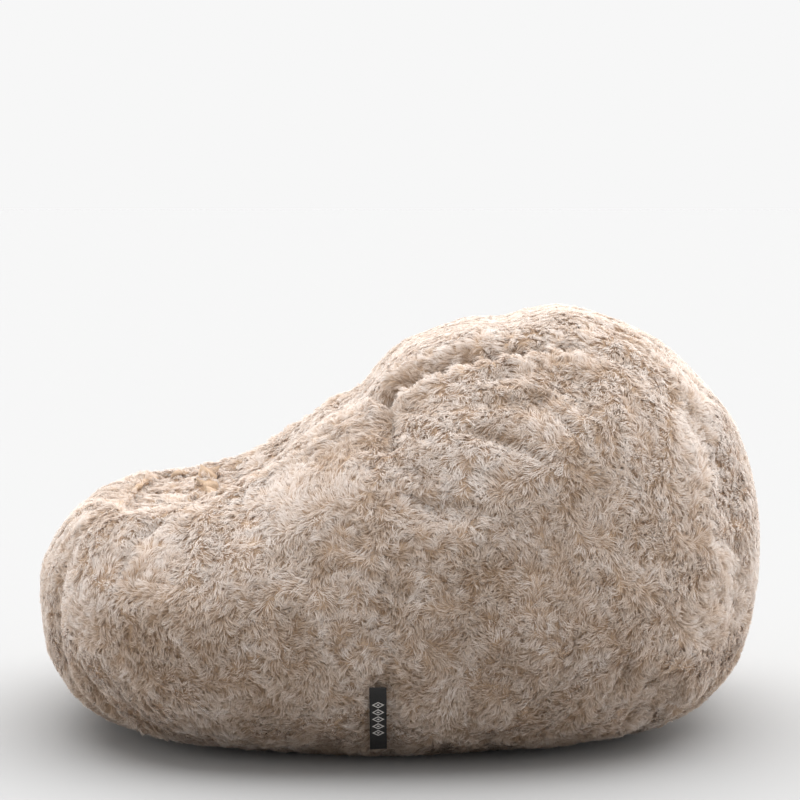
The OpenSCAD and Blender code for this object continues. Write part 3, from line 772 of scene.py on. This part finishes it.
def clothLook(name, cloth):
    look = Finish(name)
    x, y, z = look.axes(look.place())
    pitch = cloth["pitch"]
    weave = ((x * pitch).wave() * (y * pitch).wave() + (z * pitch).wave() * 0.5) * 0.5 + 0.5
    slub = look.node("TexNoise", Vector=look.place((1, 4, 1)), Scale=60.0, Detail=4.0)
    ramp = look.node("ValToRGB", stops=[(0.1, cloth["dark"]), (0.9, cloth["pale"])],
                     Fac=weave * 0.55 + slub * 0.45)
    look.feed("Base Color", ramp)
    look.feed("Roughness", slub * 0.12 + (cloth["rough"] - 0.06))
    look.bump(weave, 0.5, 0.0004)
    return look.material


def yarnLook(name, yarn):
    look = Finish(name)
    x, y, z = look.axes(look.place())
    twist = ((x + y * 0.8 + z * 1.2) * 2600).wave() * 0.5 + 0.5
    fuzz = look.node("TexNoise", Vector=look.place(), Scale=900.0, Detail=3.0)
    ramp = look.node("ValToRGB", stops=[(0.1, yarn["dark"]), (0.9, yarn["pale"])],
                     Fac=twist * 0.6 + fuzz * 0.4)
    look.feed("Base Color", ramp)
    look.feed("Roughness", yarn["rough"])
    look.bump(twist, 0.6, 0.0003)
    return look.material


def chainLook(name, chain):
    look = Finish(name)
    x, y, z = look.axes(look.place())
    rib = (x * 4200).wave() * 0.5 + 0.5
    haze = look.node("TexNoise", Vector=look.place(), Scale=240.0, Detail=5.0)
    ramp = look.node("ValToRGB", stops=[(0.15, chain["dark"]), (0.85, chain["pale"])],
                     Fac=rib * 0.35 + haze * 0.65)
    look.feed("Base Color", ramp)
    look.feed("Roughness", haze * 0.25 + (chain["rough"] - 0.1))
    look.bump(rib + haze, 0.3, 0.0002)
    return look.material


def metalLook():
    look = Finish("zip_metal")
    brushed = look.node("TexNoise", Vector=look.place((1, 26, 26)), Scale=110.0, Detail=6.0)
    wear = look.node("TexNoise", Vector=look.place(), Scale=90.0, Detail=3.0)
    ramp = look.node("ValToRGB", stops=[(0.25, (0.24, 0.235, 0.23)), (0.75, (0.46, 0.45, 0.44))],
                     Fac=brushed * 0.7 + wear * 0.3)
    look.feed("Base Color", ramp)
    look.feed("Metallic", 1.0)
    look.feed("Roughness", brushed * 0.25 + 0.22)
    look.bump(brushed, 0.2, 0.0001)
    return look.material


def beadLook():
    look = Finish("foam_beads")
    balls = look.node("TexVoronoi", Vector=look.place(), Scale=260.0)
    tint = look.node("TexNoise", Vector=look.place(), Scale=30.0, Detail=2.0)
    ramp = look.node("ValToRGB", stops=[(0.0, (0.94, 0.94, 0.92)), (0.9, (0.70, 0.70, 0.68))],
                     Fac=balls * 0.8 + tint * 0.2)
    look.feed("Base Color", ramp)
    look.feed("Roughness", 0.55)
    look.bump(1 - balls, 1.0, 0.002)
    return look.material


def dressCadNodes():
    finishes = {name: clothLook(name, cloth) for name, cloth in plainCloth.items()}
    finishes.update({name: yarnLook(name, yarn) for name, yarn in yarns.items()})
    finishes.update({name: chainLook(name, chain) for name, chain in chains.items()})
    finishes["zip_metal"] = metalLook()
    finishes["foam_beads"] = beadLook()
    for part in frame["record"]["subparts"]:
        if part["material_slot"] in finishes:
            body = nodes[part["node"]]
            body.data.materials.clear()
            body.data.materials.append(finishes[part["material_slot"]])


makeCamera()
makeStudio()
say("camera and studio are in")

skin = makeBag()
sinkToRoots(skin)
start = coords(skin.data)
reach = distances(seamTree(topSeams + crossSeams + sideSeams), start)
inflate(skin, (reach < puff["heldAlong"]) | (start[:, 2] < puff["heldBelow"]))
pinchSeams(skin)
say("bag is shaped")
flap = makeLabel(skin)
flap.data.materials.append(wovenLabelLook())
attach(flap, "label")
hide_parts("side_label")
dressCadNodes()
say("label and inner parts are dressed")

owner = splitPanels(skin)
areas = np.array([p.area for p in skin.data.polygons])
coverArea = areas[owner < len(pilePanels)].sum()
say(f"cover area {coverArea:.3f} m2")
furFinish, backingFinish = pileLook(), backingLook()
total = 0
for index, node in enumerate(pilePanels):
    fabric = panelPiece(skin, owner, index, node + "_fabric")
    share = areas[owner == index].sum()
    want = int(pile["blades"] * share / coverArea)
    parts = int(math.ceil(want / pile["mostInPiece"]))
    for part in range(parts):
        fur = growPile(fabric, f"{node}_pile_{part + 1}", want // parts, 100 * index + part + 1)
        fur.data.materials.append(furFinish)
        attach(fur, "bag")
        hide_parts(node)
    total += want
    thick = fabric.modifiers.new("thickness", "SOLIDIFY")
    thick.thickness = bag["backing"]
    thick.offset = -1
    applyAll(fabric)
    fabric.data.materials.append(backingFinish)
    pick(fabric)
    bpy.ops.object.shade_smooth()
    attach(fabric, "bag")
    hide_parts(node)
say(f"pile has {total} blades")
bpy.data.objects.remove(skin)
